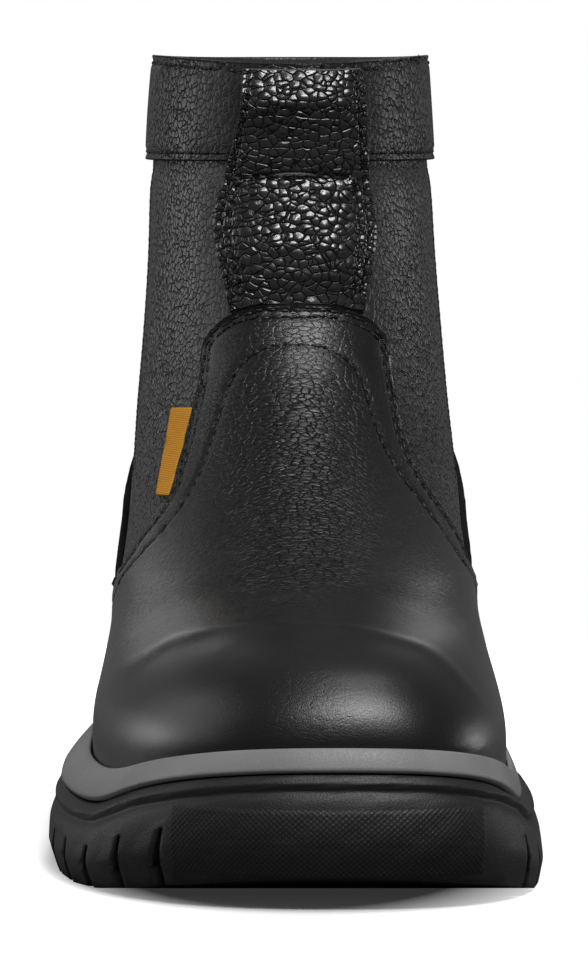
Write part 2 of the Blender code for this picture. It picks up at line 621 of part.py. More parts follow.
def build():
    for leftover in list(bpy.data.objects):
        bpy.data.objects.remove(leftover, do_unlink=True)
    boot = bpy.data.objects.new("safety_boot", None)
    bpy.context.scene.collection.objects.link(boot)
    leather = finish("black_leather", (0.018, 0.018, 0.019), 0.5)
    gloss_leather = finish("black_gloss_leather", (0.014, 0.014, 0.015), 0.35)
    rubber = finish("black_rubber", (0.020, 0.020, 0.021), 0.75)
    foam = finish("grey_foam", (0.17, 0.17, 0.17), 0.6)
    lining = finish("dark_lining", (0.04, 0.04, 0.045), 0.95)
    tag_cloth = finish("orange_tag", (0.72, 0.36, 0.05), 0.8)
    make_outsole(boot, rubber)
    make_midsole(boot, foam)
    make_insole(boot, lining)
    make_upper(boot, leather)
    make_vamp(boot, leather)
    make_counter(boot, leather)
    make_collar_band(boot, leather)
    make_front_strap(boot, gloss_leather)
    make_side_tag(boot, tag_cloth)


build()
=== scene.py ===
# %% [markdown]
# # A pull-on safety boot, dressed for its portrait
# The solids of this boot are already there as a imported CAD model: a hollow leather upper, the overlays
# that are sewn on it, a grey foam midsole and a black rubber cup sole. This lesson loads them as a fixed
# frame and dresses them: it rounds the leather, presses creases into it, sews the seams and gives every
# surface its finish. Sizes are in metres, +Z is up, the toe points to -Y and the outer side to -X.

# %% Load the frame
import math

import bmesh
import bpy
import numpy as np
from mathutils import Matrix, Vector
from mathutils.bvhtree import BVHTree
from mathutils.kdtree import KDTree


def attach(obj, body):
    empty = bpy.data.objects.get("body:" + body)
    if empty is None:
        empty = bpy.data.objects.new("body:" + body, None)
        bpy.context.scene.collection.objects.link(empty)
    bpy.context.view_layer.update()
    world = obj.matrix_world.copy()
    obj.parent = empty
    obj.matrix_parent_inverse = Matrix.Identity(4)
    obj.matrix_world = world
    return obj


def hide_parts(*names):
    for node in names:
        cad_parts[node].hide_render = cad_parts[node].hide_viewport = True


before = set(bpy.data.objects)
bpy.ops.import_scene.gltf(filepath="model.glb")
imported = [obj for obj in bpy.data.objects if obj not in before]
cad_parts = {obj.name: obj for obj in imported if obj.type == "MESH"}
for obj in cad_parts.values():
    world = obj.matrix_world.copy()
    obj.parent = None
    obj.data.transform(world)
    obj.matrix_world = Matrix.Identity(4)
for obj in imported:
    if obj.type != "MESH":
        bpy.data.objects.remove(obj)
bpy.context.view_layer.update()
scene = bpy.context.scene
MM = 0.001
print("nodes:", ", ".join(sorted(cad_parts)))

# %% [markdown]
# ## The camera
# The picture is taken from straight in front, with a long lens a metre and a half away. Its height is that
# of the collar, which is why the boot's opening can't be seen, and the lens looks a little down, so the
# horizon lies near the top edge. A camera's sensor width belongs to the longer side of the picture, here
# its height. The Standard view transform keeps white white, where a filmic one would grey it.

# %% Camera
IMAGE_HEIGHT = 980
FOCAL_PIXELS = 6372
HORIZON_ROW = 57
SENSOR_SIDE = 36.0
CAMERA_PLACE = Vector((0.0, -1.549, 0.1891))

camera_data = bpy.data.cameras.new("camera")
camera_data.sensor_width = SENSOR_SIDE
camera_data.lens = SENSOR_SIDE * FOCAL_PIXELS / IMAGE_HEIGHT
camera = bpy.data.objects.new("camera", camera_data)
camera.location = CAMERA_PLACE
look_down = math.atan((IMAGE_HEIGHT / 2 - HORIZON_ROW) / FOCAL_PIXELS)
camera.rotation_euler = (math.pi / 2 - look_down, 0.0, 0.0)
scene.collection.objects.link(camera)
scene.camera = camera
scene.view_settings.view_transform = "Standard"
print(f"lens {camera_data.lens:.0f} mm, {math.degrees(look_down):.1f} degrees down")

# %% [markdown]
# ## Soft light
# Black leather shows its form by what it mirrors, so the lights matter more than the colour. A small lamp
# would draw hard glints, so the boot stands among soft panels, as in a product studio. Two of them, high in
# front, make the soft spot on the cap. A narrow strip overhead lights the instep, low panels at both sides
# and a wall on the left light the flanks, and a panel at the back draws the line behind the cap.

# %% Soft panels
SOFT_PANELS = (
    # name, place, aim, width, height, watts
    ("front_top_panel", (0.29, -0.66, 1.40), (0.0, -0.12, 0.05), 0.50, 0.60, 7.0),
    ("front_panel", (0.26, -1.15, 1.15), (0.0, -0.05, 0.10), 0.80, 0.30, 14.0),
    ("overhead_strip", (0.20, 0.10, 1.50), (0.0, -0.02, 0.09), 0.12, 0.34, 1.6),
    ("left_panel", (-1.28, 0.66, 0.12), (0.0, 0.0, 0.09), 0.50, 0.20, 1.2),
    ("right_panel", (1.30, 0.62, 0.12), (0.0, 0.0, 0.09), 0.50, 0.20, 1.5),
    ("left_wall", (-1.20, 0.20, 0.55), (0.0, 0.0, 0.09), 1.10, 0.90, 2.4),
    ("back_panel", (-0.15, 1.50, 0.48), (0.0, -0.05, 0.06), 1.00, 0.30, 0.72),
)

for name, place, aim, width, height, watts in SOFT_PANELS:
    lamp_data = bpy.data.lights.new(name, "AREA")
    lamp_data.shape = "RECTANGLE"
    lamp_data.size = width
    lamp_data.size_y = height
    lamp_data.energy = watts
    lamp = bpy.data.objects.new(name, lamp_data)
    lamp.location = place
    lamp.rotation_euler = (Vector(aim) - Vector(place)).to_track_quat("-Z", "Y").to_euler()
    lamp.visible_camera = False
    scene.collection.objects.link(lamp)
print(len(SOFT_PANELS), "soft panels")

# %% [markdown]
# ## World
# The background is plain white, but a white world would also light the boot from all sides and wash its
# black out. A Light Path node tells the two apart: the camera sees white, and the boot gets a dim glow.
# Node trees take many lines to wire by hand, so a small helper adds a node and fills its inputs.

# %% World
WHITE = (1.0, 1.0, 1.0, 1.0)
WORLD_GLOW = 0.14


def add_node(tree, kind, inputs=None, **settings):
    """Adds a node, sets its options, and links or fills its inputs."""
    node = tree.nodes.new(kind)
    for option, value in settings.items():
        setattr(node, option, value)
    for socket, value in (inputs or {}).items():
        if isinstance(value, bpy.types.NodeSocket):
            tree.links.new(value, node.inputs[socket])
        else:
            node.inputs[socket].default_value = value
    return node


world = bpy.data.worlds.new("studio")
scene.world = world
world.use_nodes = True
sky = world.node_tree
sky.nodes.clear()
backdrop = add_node(sky, "ShaderNodeBackground", {"Color": WHITE}).outputs["Background"]
glow = add_node(sky, "ShaderNodeBackground", {"Color": WHITE, "Strength": WORLD_GLOW}).outputs["Background"]
seen = add_node(sky, "ShaderNodeLightPath").outputs["Is Camera Ray"]
either = add_node(sky, "ShaderNodeMixShader", {"Fac": seen, 1: glow, 2: backdrop}).outputs["Shader"]
add_node(sky, "ShaderNodeOutputWorld", {"Surface": either})
print("a white world with a glow of", WORLD_GLOW)

# %% [markdown]
# ## Floor
# The floor is a flat pale disc. Lit by the lamps alone it would be a grey patch that ends at a visible
# edge, so it also glows: hardly at all under the boot, where the soft shadow lies, and more and more in an
# oval round it, until it is as white as the background. To the boot it is a dim floor, which throws only a
# little light up at the black sole.

# %% Floor
FLOOR_RADIUS = 0.5
FLOOR_SIDES = 64
FLOOR_TONE = (0.95, 0.95, 0.95, 1.0)
FLOOR_BOUNCE = (0.12, 0.12, 0.12, 1.0)
# The glow rises between two distances from the boot's middle, in an oval that is this much shorter in X.
FLOOR_GLOW = (0.03, 1.00)
FLOOR_FADE = (0.140, 0.205)
FLOOR_OVAL = (2.66, 1.0, 1.0)


def object_from(shape, name, materials):
    """Turns a bmesh into an object of the scene, with its materials."""
    mesh = bpy.data.meshes.new(name)
    shape.to_mesh(mesh)
    shape.free()
    for material in materials:
        mesh.materials.append(material)
    thing = bpy.data.objects.new(name, mesh)
    scene.collection.objects.link(thing)
    return thing


def start_material(name):
    """A new material with its tree, its shader and its Object coordinates."""
    material = bpy.data.materials.new(name)
    material.use_nodes = True
    tree = material.node_tree
    place = add_node(tree, "ShaderNodeTexCoord").outputs["Object"]
    return material, tree, tree.nodes["Principled BSDF"], place


floor_paint, paint, pale, floor_place = start_material("floor_paint")
pale.inputs["Base Color"].default_value = FLOOR_TONE
pale.inputs["Roughness"].default_value = 1.0
pale.inputs["Specular IOR Level"].default_value = 0.0
pale.inputs["Emission Color"].default_value = WHITE
oval = add_node(paint, "ShaderNodeMapping", {"Vector": floor_place, "Scale": FLOOR_OVAL}).outputs["Vector"]
from_boot = add_node(paint, "ShaderNodeVectorMath", {0: oval}, operation="LENGTH").outputs["Value"]
fade = add_node(paint, "ShaderNodeMapRange",
                {"Value": from_boot, "From Min": FLOOR_FADE[0], "From Max": FLOOR_FADE[1],
                 "To Min": FLOOR_GLOW[0], "To Max": FLOOR_GLOW[1]})
paint.links.new(fade.outputs["Result"], pale.inputs["Emission Strength"])
dim = add_node(paint, "ShaderNodeBsdfDiffuse", {"Color": FLOOR_BOUNCE}).outputs["BSDF"]
floor_seen = add_node(paint, "ShaderNodeLightPath").outputs["Is Camera Ray"]
floor_mix = add_node(paint, "ShaderNodeMixShader", {"Fac": floor_seen, 1: dim, 2: pale.outputs["BSDF"]})
paint.links.new(floor_mix.outputs["Shader"], paint.nodes["Material Output"].inputs["Surface"])

floor_shape = bmesh.new()
bmesh.ops.create_circle(floor_shape, cap_ends=True, segments=FLOOR_SIDES, radius=FLOOR_RADIUS)
floor = object_from(floor_shape, "floor", (floor_paint,))
print(f"a floor {2 * FLOOR_RADIUS:.1f} m across")

# %% [markdown]
# ## Helpers for materials
# A material here is a small tree of nodes that ends in one Principled shader. Its patterns could be wrapped
# on with a UV map, but Object coordinates need none: the pieces all sit at the origin, so a millimetre in
# the pattern is a millimetre on the boot.

# %% Material helpers
def math_node(tree, operation, first, second=0.0):
    """One step of arithmetic."""
    return add_node(tree, "ShaderNodeMath", {0: first, 1: second}, operation=operation).outputs[0]


def spread(tree, value, low, high, to_low, to_high):
    """Maps a range of a value softly onto another range."""
    limits = {"Value": value, "From Min": low, "From Max": high, "To Min": to_low, "To Max": to_high}
    return add_node(tree, "ShaderNodeMapRange", limits, interpolation_type="SMOOTHSTEP").outputs["Result"]


def noise(tree, place, scale, detail):
    """A cloudy pattern: Fac is one value, and Color holds three."""
    return add_node(tree, "ShaderNodeTexNoise", {"Vector": place, "Scale": scale, "Detail": detail}).outputs


def paint_two_tone(tree, shader, factor, dark, light):
    """Colours a surface between two greys or colours."""
    ramp = add_node(tree, "ShaderNodeValToRGB", {"Fac": factor})
    ramp.color_ramp.elements[0].color = (*dark, 1.0)
    ramp.color_ramp.elements[1].color = (*light, 1.0)
    tree.links.new(ramp.outputs["Color"], shader.inputs["Base Color"])


def emboss(tree, shader, height, depth):
    """Gives a surface a relief of a given depth, and returns its normal."""
    bump = add_node(tree, "ShaderNodeBump", {"Height": height, "Strength": 1.0, "Distance": depth})
    tree.links.new(bump.outputs["Normal"], shader.inputs["Normal"])
    return bump.outputs["Normal"]


# %% [markdown]
# ## Tumbled leather
# The hide is tumbled, so its grain is a net of fine creases round small pebbles. A photograph of leather
# could be laid on it, but it would repeat and stretch. A Voronoi texture that measures the distance to a
# cell's edge draws the net at any size, and a little noise in its coordinates keeps the cells from looking
# like tiles. The distance to a cell's heart rounds the pebbles, fine noise makes the pores, and broad noise
# makes some patches deeper than others. The gloss is a coat of finish, which lies on the pebbles' tops and
# is nearly gone in the creases, and the creases are also coloured a darker black. Both keep the creases
# dark, as their shade would: the darker colour is painted shade, and the thin coat is partly the finish and
# partly painted shade.

# %% Tumbled leather
LEATHER_TOP = (0.0038, 0.0038, 0.0039)
# The creases' colour is painted shade: it is darker than the tops', as the shade in them would be.
LEATHER_SHADED_CREASE = (0.0010, 0.0010, 0.0010)
BARE_SHINE = 0.12
# How much coat is left in the creases: partly the finish, and partly painted shade that keeps them dark.
COAT_IN_SHADED_CREASES = 0.14
# Widths and reaches are shares of a cell's size.
CREASE_WIDTH = 0.11
PEBBLE_WIDTH = 0.8
DRIFT_REACH = 0.7
# The scale of a noise is how often it repeats in one cell, about.
DRIFT_SCALE = 0.6
PORE_SCALE = 4.0
PATCH_SCALE = 0.12
# What the pores add to the roughness, and the patches' share of the depth.
PORE_DULLNESS = (-0.04, 0.06)
PATCH_DEPTH = (0.6, 1.1)
# Nearly all values of a noise lie between these two.
NOISE_SPAN = (0.3, 0.7)


def tumbled_leather(name, cell, stretch, depth, crown, pore, top_roughness, crease_roughness, coat_ior,
                    wear=None):
    """Pebbled leather: the pebbles' size, stretch, depth and roundness, then the pores and the gloss."""
    material, tree, shader, place = start_material(name)
    squeeze = tuple(1.0 / share for share in stretch)
    stretched = add_node(tree, "ShaderNodeMapping", {"Vector": place, "Scale": squeeze}).outputs["Vector"]
    drift = noise(tree, stretched, DRIFT_SCALE / cell, detail=1.0)["Color"]
    sway = DRIFT_REACH * cell
    wandering = add_node(tree, "ShaderNodeVectorMath", {0: drift, 1: (sway, sway, sway), 2: stretched},
                         operation="MULTIPLY_ADD").outputs["Vector"]
    cells = {"Vector": wandering, "Scale": 1.0 / cell}
    net = add_node(tree, "ShaderNodeTexVoronoi", cells, feature="DISTANCE_TO_EDGE").outputs["Distance"]
    heart = add_node(tree, "ShaderNodeTexVoronoi", cells, feature="F1").outputs["Distance"]
    pebble = spread(tree, net, 0.0, CREASE_WIDTH, 0.0, 1.0)
    dome = spread(tree, heart, 0.0, PEBBLE_WIDTH, crown, 0.0)
    pores = noise(tree, place, PORE_SCALE / cell, detail=3.0)["Fac"]
    patches = noise(tree, place, PATCH_SCALE / cell, detail=2.0)["Fac"]
    uneven = spread(tree, patches, *NOISE_SPAN, *PATCH_DEPTH)
    relief = math_node(tree, "MULTIPLY", math_node(tree, "ADD", pebble, dome), uneven)
    if wear:
        pebble, relief = wear(tree, place, pebble, relief)
    relief = math_node(tree, "ADD", relief, math_node(tree, "MULTIPLY", pores, pore))
    normal = emboss(tree, shader, relief, depth)
    # Painted shade: the creases are coloured darker than the pebbles' tops.
    paint_two_tone(tree, shader, pebble, LEATHER_SHADED_CREASE, LEATHER_TOP)
    dull = spread(tree, pebble, 0.0, 1.0, crease_roughness, top_roughness)
    dull = math_node(tree, "ADD", dull, spread(tree, pores, *NOISE_SPAN, *PORE_DULLNESS))
    tree.links.new(dull, shader.inputs["Roughness"])
    shader.inputs["Specular IOR Level"].default_value = BARE_SHINE
    # The coat thins in the creases: partly the finish, and partly painted shade.
    tree.links.new(spread(tree, pebble, 0.0, 1.0, COAT_IN_SHADED_CREASES, 1.0), shader.inputs["Coat Weight"])
    tree.links.new(normal, shader.inputs["Coat Normal"])
    shader.inputs["Coat Roughness"].default_value = top_roughness
    shader.inputs["Coat IOR"].default_value = coat_ior
    return material


# %% [markdown]
# ## Where the grain is stretched away
# Leather that is pulled over a form loses its grain. The vamp is smooth over the cap, finer on its flanks
# and along its sewn top, and wrinkled across the instep. The shaft is flatter beside the strap. A mask
# could be painted on the mesh, but one that is worked out from the place on the boot is set in millimetres.

# %% Worn grain
CAP_STRETCH = (-120.0 * MM, -50.0 * MM)
CAP_GRAIN = 0.09
INSTEP_STRIP = (2.0 * MM, 24.0 * MM)
FLANK_GRAIN = 0.28
SEWN_TOP = (102.0 * MM, 116.0 * MM)
SEWN_GRAIN = 0.32
FLAT_STRIP = (16.0 * MM, 33.0 * MM)
FLAT_GRAIN = 0.30
WRINKLE_SCALE = (70.0, 420.0, 420.0)
WRINKLE_WIDTH = 0.035
WRINKLE_RELIEF = 0.5
NOISE_MIDDLE = 0.5


def softened(tree, pebble, relief, grain):
    """Pebbles and relief that show only as far as the grain is left."""
    crease = math_node(tree, "MULTIPLY", math_node(tree, "SUBTRACT", pebble, 1.0), grain)
    return math_node(tree, "ADD", crease, 1.0), math_node(tree, "MULTIPLY", relief, grain)


def shaft_wear(tree, place, pebble, relief):
    """Smoother beside the strap, where the shaft is pulled flat, and pebbled towards its sides."""
    spot = add_node(tree, "ShaderNodeSeparateXYZ", {"Vector": place}).outputs
    beside = math_node(tree, "ABSOLUTE", spot["X"])
    return softened(tree, pebble, relief, spread(tree, beside, *FLAT_STRIP, FLAT_GRAIN, 1.0))


def vamp_wear(tree, place, pebble, relief):
    """Stretched smooth over the cap, finer on the flanks, and wrinkled across the instep."""
    spot = add_node(tree, "ShaderNodeSeparateXYZ", {"Vector": place}).outputs
    behind_cap = spread(tree, spot["Y"], *CAP_STRETCH, CAP_GRAIN, 1.0)
    strip = spread(tree, math_node(tree, "ABSOLUTE", spot["X"]), *INSTEP_STRIP, 1.0, FLANK_GRAIN)
    below_top = spread(tree, spot["Z"], *SEWN_TOP, 1.0, SEWN_GRAIN)
    grain = math_node(tree, "MULTIPLY", math_node(tree, "MULTIPLY", behind_cap, strip), below_top)
    drawn = add_node(tree, "ShaderNodeMapping", {"Vector": place, "Scale": WRINKLE_SCALE}).outputs["Vector"]
    waves = noise(tree, drawn, scale=1.0, detail=2.0)["Fac"]
    gap = math_node(tree, "ABSOLUTE", math_node(tree, "SUBTRACT", waves, NOISE_MIDDLE))
    relief = math_node(tree, "ADD", relief, spread(tree, gap, 0.0, WRINKLE_WIDTH, 0.0, WRINKLE_RELIEF))
    return softened(tree, pebble, relief, grain)


# %% Four leathers
shaft_leather = tumbled_leather(
    "shaft_leather", cell=1.35 * MM, stretch=(1.0, 1.0, 1.35), depth=0.24 * MM, crown=0.7, pore=0.2,
    top_roughness=0.42, crease_roughness=0.62, coat_ior=1.70, wear=shaft_wear)
collar_leather = tumbled_leather(
    "collar_leather", cell=1.7 * MM, stretch=(1.0, 1.0, 1.1), depth=0.30 * MM, crown=0.7, pore=0.2,
    top_roughness=0.42, crease_roughness=0.62, coat_ior=1.58, wear=shaft_wear)
vamp_leather = tumbled_leather(
    "vamp_leather", cell=1.25 * MM, stretch=(2.0, 1.0, 1.0), depth=0.19 * MM, crown=0.7, pore=0.3,
    top_roughness=0.33, crease_roughness=0.55, coat_ior=1.50, wear=vamp_wear)
strap_leather = tumbled_leather(
    "strap_leather", cell=1.9 * MM, stretch=(1.3, 1.0, 1.0), depth=0.30 * MM, crown=1.0, pore=0.2,
    top_roughness=0.27, crease_roughness=0.60, coat_ior=1.85)
for leather in (shaft_leather, collar_leather, vamp_leather, strap_leather):
    print(f"{leather.name}: {len(leather.node_tree.nodes)} nodes")

# %% [markdown]
# ## Rubber, foam and cut edges
# The outsole is matt black rubber from an etched mould, so it has a fine stipple, and the midsole is grey
# foam with a satin moulded skin. One flat colour would look like plastic film, so fine noise makes the
# stipple and broad noise shifts the tone a little. The same recipe, napped and with some sheen, makes the
# lining. It also makes the cut edges of the leather: most are dyed black, and the strap's is left paler.

# %% Moulded materials
CLOUD_SCALE = 60.0
STIPPLE_DULLNESS = (-0.05, 0.08)
PLAIN_SPECULAR = 0.5


def moulded(name, dark, light, roughness, speck, depth, sheen=0.0, specular=PLAIN_SPECULAR):
    """A moulded or napped material with a fine stipple, in specks of a given size."""
    material, tree, shader, place = start_material(name)
    stipple = noise(tree, place, 1.0 / speck, detail=2.0)["Fac"]
    clouds = noise(tree, place, CLOUD_SCALE, detail=4.0)["Fac"]
    emboss(tree, shader, stipple, depth)
    paint_two_tone(tree, shader, spread(tree, clouds, *NOISE_SPAN, 0.0, 1.0), dark, light)
    smoothest, dullest = (roughness + change for change in STIPPLE_DULLNESS)
    tree.links.new(spread(tree, stipple, *NOISE_SPAN, smoothest, dullest), shader.inputs["Roughness"])
    shader.inputs["Sheen Weight"].default_value = sheen
    shader.inputs["Specular IOR Level"].default_value = specular
    return material


outsole_rubber = moulded(
    "outsole_rubber", dark=(0.007, 0.007, 0.007), light=(0.011, 0.011, 0.011), roughness=0.50,
    speck=0.35 * MM, depth=0.10 * MM)
midsole_foam = moulded(
    "midsole_foam", dark=(0.182, 0.182, 0.185), light=(0.213, 0.213, 0.216), roughness=0.50,
    speck=0.5 * MM, depth=0.05 * MM)
lining_cloth = moulded(
    "lining_cloth", dark=(0.010, 0.010, 0.011), light=(0.030, 0.030, 0.032), roughness=0.85,
    speck=0.7 * MM, depth=0.25 * MM, sheen=0.3)
# The same black, on flat dots after the stitches, is painted shade for the needle holes.
dyed_edge_and_hole_shade = moulded(
    "dyed_edge_and_hole_shade", dark=(0.0015, 0.0015, 0.0015), light=(0.0040, 0.0040, 0.0040), roughness=0.75,
    speck=0.3 * MM, depth=0.05 * MM, specular=0.2)
raw_edge = moulded(
    "raw_edge", dark=(0.030, 0.030, 0.031), light=(0.060, 0.060, 0.062), roughness=0.60,
    speck=0.3 * MM, depth=0.05 * MM)
print("rubber, foam, lining and two kinds of cut edge")

# %% [markdown]
# ## Cloth and thread
# The tag and the footbed are woven. Every yarn could be modelled, but at half a millimetre a yarn is
# smaller than a pixel, so two crossed sets of waves make the weave. The thread has the same weave, so fine
# that it only roughens it.

# %% Cloth and thread
# A Wave texture of scale 1 repeats after this length.
WAVE_PERIOD = 0.314
WEAVE_WOBBLE = 0.6


def woven(name, dark, light, pitch, depth, roughness, sheen):
    """A plain weave: two sets of waves, one across the other."""
    material, tree, shader, place = start_material(name)
    yarn = {"Vector": place, "Scale": WAVE_PERIOD / pitch, "Distortion": WEAVE_WOBBLE}
    across = add_node(tree, "ShaderNodeTexWave", yarn, bands_direction="Z").outputs["Fac"]
    along = add_node(tree, "ShaderNodeTexWave", yarn, bands_direction="Y").outputs["Fac"]
    weave = math_node(tree, "MULTIPLY", across, along)
    emboss(tree, shader, weave, depth)
    paint_two_tone(tree, shader, weave, dark, light)
    shader.inputs["Roughness"].default_value = roughness
    shader.inputs["Sheen Weight"].default_value = sheen
    return material


tag_cloth = woven(
    "tag_cloth", dark=(0.48, 0.190, 0.004), light=(0.92, 0.43, 0.012), pitch=0.5 * MM, depth=0.10 * MM,
    roughness=0.80, sheen=0.0)
footbed_cloth = woven(
    "footbed_cloth", dark=(0.010, 0.010, 0.012), light=(0.045, 0.045, 0.050), pitch=0.8 * MM,
    depth=0.20 * MM, roughness=0.85, sheen=0.2)
black_thread = woven(
    "black_thread", dark=(0.002, 0.002, 0.002), light=(0.009, 0.009, 0.009), pitch=0.45 * MM,
    depth=0.12 * MM, roughness=0.45, sheen=0.0)
print("tag cloth, footbed cloth and thread")

# %% [markdown]
# ## From solids to leather
# A CAD solid is made of flat triangles. A Bevel modifier would round its edges but leave the facets, so a
# copy of it has its doubles merged and its triangles joined to quads, its sharp edges get a part crease,
# and a Subdivision Surface rounds it: the broad faces turn smooth and the cut edges get the small radius
# that skived leather has. The modifier is then settled into the mesh, because folds and seams are pressed
# into its vertices afterwards.

# %% Rounded copies
MERGE_DISTANCE = 0.01 * MM
SHARP_ANGLE = math.radians(38.0)
QUAD_ANGLE = math.radians(40.0)
QUAD_SKEW = math.radians(60.0)
EDGE_CREASE = 0.50


def merged_solid(node, quads=True):
    """The solid of a CAD node as a bmesh with its doubles merged, of quads if asked."""
    solid = bmesh.new()
    solid.from_mesh(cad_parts[node].data)
    bmesh.ops.remove_doubles(solid, verts=solid.verts, dist=MERGE_DISTANCE)
    if quads:
        bmesh.ops.join_triangles(solid, faces=solid.faces, angle_face_threshold=QUAD_ANGLE,
                                 angle_shape_threshold=QUAD_SKEW)
    solid.normal_update()
    return solid


def settle(piece):
    """Makes the modifiers' result the piece's own mesh."""
    bpy.context.view_layer.update()
    evaluated = piece.evaluated_get(bpy.context.evaluated_depsgraph_get())
    mesh = bpy.data.meshes.new_from_object(evaluated)
    piece.modifiers.clear()
    piece.data = mesh
    mesh.shade_smooth()
    triangles = sum(len(face.vertices) - 2 for face in mesh.polygons)
    print(f"{piece.name}: {triangles} triangles")


def rounded_copy(node, name, levels, materials, crease=EDGE_CREASE, quads=True, second=None):
    """A piece that stands for a CAD node: its rounded copy. The faces that second picks get material 1."""
    solid = merged_solid(node, quads)
    if second:
        for face in solid.faces:
            face.material_index = int(second(face))
    creases = solid.edges.layers.float.new("crease_edge")
    for edge in solid.edges:
        if edge.calc_face_angle(0.0) > SHARP_ANGLE:
            edge[creases] = crease
    piece = object_from(solid, name, materials)
    rounding = piece.modifiers.new("rounding", "SUBSURF")
    rounding.levels = levels
    rounding.render_levels = levels
    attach(piece, "root")
    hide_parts(node)
    settle(piece)
    return piece


# %% [markdown]
# ## Leather pieces and sole pieces
# The upper shows leather outside and lining inside, and each overlay shows grain on top and a cut edge
# round its rim. They could be separate shells, but on one closed body a second material on the right faces
# is enough: those of the upper that look at the middle of the foot or leg, and those of an overlay that
# don't look the way the upper under them does. The outsole keeps its triangles and full creases, so that
# its grooves stay crisp.

# %% Leather pieces
EDGE_FACING = 0.5
LINING_FACING = 0.3
FOOT_AXIS = (Vector((0.0, -0.12, 0.04)), Vector((0.0, 0.06, 0.06)), Vector((0.0, 0.075, 0.19)))
upper_base = BVHTree.FromBMesh(merged_solid("upper"))


def is_cut_edge(face):
    """Whether a face of an overlay is its cut edge or its back, and not its grain side."""
    return face.normal.dot(upper_base.find_nearest(face.calc_center_median())[1]) < EDGE_FACING


def is_lining(face):
    """Whether a face of the upper looks at the middle of the foot or leg."""
    centre = face.calc_center_median()
    nearest = []
    for start, end in zip(FOOT_AXIS, FOOT_AXIS[1:]):
        share = (centre - start).dot(end - start) / (end - start).length_squared
        nearest.append(start.lerp(end, min(max(share, 0.0), 1.0)) - centre)
    inwards = min(nearest, key=lambda way: way.length)
    return face.normal.dot(inwards.normalized()) > LINING_FACING


upper = rounded_copy("upper", "upper_leather", levels=2,
                     materials=(shaft_leather, lining_cloth), second=is_lining)
vamp = rounded_copy("vamp", "vamp_piece", levels=3,
                    materials=(vamp_leather, dyed_edge_and_hole_shade), second=is_cut_edge)
counter = rounded_copy("heel_counter", "heel_counter_piece", levels=3,
                       materials=(shaft_leather, dyed_edge_and_hole_shade), second=is_cut_edge)
collar = rounded_copy("collar_band", "collar_band_piece", levels=3,
                      materials=(collar_leather, dyed_edge_and_hole_shade), second=is_cut_edge)
strap = rounded_copy("front_strap", "front_strap_piece", levels=4,
                     materials=(strap_leather, raw_edge), second=is_cut_edge)
tag = rounded_copy("side_tag", "side_tag_piece", levels=3, materials=(tag_cloth,))

# %% Sole pieces
RUBBER_CREASE = 1.0
midsole = rounded_copy("midsole", "midsole_foam_piece", levels=2,
                       materials=(midsole_foam,))
rounded_copy("insole", "footbed", levels=2, materials=(footbed_cloth,))
outsole = rounded_copy("outsole", "rubber_outsole", levels=2,
                       materials=(outsole_rubber,), crease=RUBBER_CREASE, quads=False)

# %% [markdown]
# ## Folds in the vamp
# The toe cap under the leather ends in a rim, which shows as a soft ridge across the vamp with a shallow
# valley behind it, and walking has pressed folds into the instep. They could be sculpted with a brush.
# Here they are given in code, as lines seen from the front in millimetres. Each line is cast onto
# the vamp, and the vertices near it move along their normals, most on the line itself and less to both
# sides, as a thumb would press it.

# %% Lines on a surface
FRONT_DISTANCE = 0.4
LINE_STEP = 1.0 * MM
HAND_LINE_ROUNDS = 30


def even_points(points, step, rounds=3):
    """Points at an even step along a run of points, with its corners smoothed in rounds."""
    points = np.array(points, float)
    travelled = np.concatenate(([0.0], np.cumsum(np.linalg.norm(np.diff(points, axis=0), axis=1))))
    marks = np.linspace(0.0, travelled[-1], max(int(travelled[-1] / step), 2) + 1)
    even = np.column_stack([np.interp(marks, travelled, column) for column in points.T])
    for _ in range(rounds):
        even[1:-1] = (even[:-2] + 2.0 * even[1:-1] + even[2:]) / 4.0
    return even


def cast_from_front(tree, line):
    """Lays a line of (x, z) points in millimetres on a surface, seen from the front."""
    spots = []
    for x, z in even_points(np.array(line) * MM, LINE_STEP, HAND_LINE_ROUNDS):
        spot = tree.ray_cast(Vector((x, -FRONT_DISTANCE, z)), Vector((0.0, 1.0, 0.0)))[0]
        if spot:
            spots.append(spot)
    return spots


def surface_of(piece):
    """A search tree of a piece's surface."""
    return BVHTree.FromObject(piece, bpy.context.evaluated_depsgraph_get())


# %% Pressing a line in
# A line is felt as far as this many widths away.
PRESS_REACH = 3.0


def search_tree(spots):
    """A search tree of points."""
    tree = KDTree(len(spots))
    for index, spot in enumerate(spots):
        tree.insert(spot, index)
    tree.balance()
    return tree


def columns(mesh, what):
    """A mesh's vertex places ("co") or normals ("normal") as rows of numbers."""
    values = np.empty(len(mesh.vertices) * 3)
    mesh.vertices.foreach_get(what, values)
    return values.reshape(-1, 3)


def move_to(mesh, places):
    """Puts all vertices of a mesh in new places."""
    mesh.vertices.foreach_set("co", places.ravel())
    mesh.update()


def press(piece, spots, width, height, fade):
    """Raises the surface along a line, or sinks it. The line's ends fade out over a share of its length."""
    tree = search_tree(spots)
    last = len(spots) - 1
    reach = PRESS_REACH * width
    line = np.array(spots)
    places = columns(piece.data, "co")
    normals = columns(piece.data, "normal")
    near = np.all((places > line.min(axis=0) - reach) & (places < line.max(axis=0) + reach), axis=1)
    for index in np.flatnonzero(near):
        _, mark, gap = tree.find(places[index])
        if gap < reach:
            share = math.exp(-((gap / width) ** 2))
            share *= min(1.0, min(mark, last - mark) / (fade * last))
            places[index] += normals[index] * height * share
    move_to(piece.data, places)


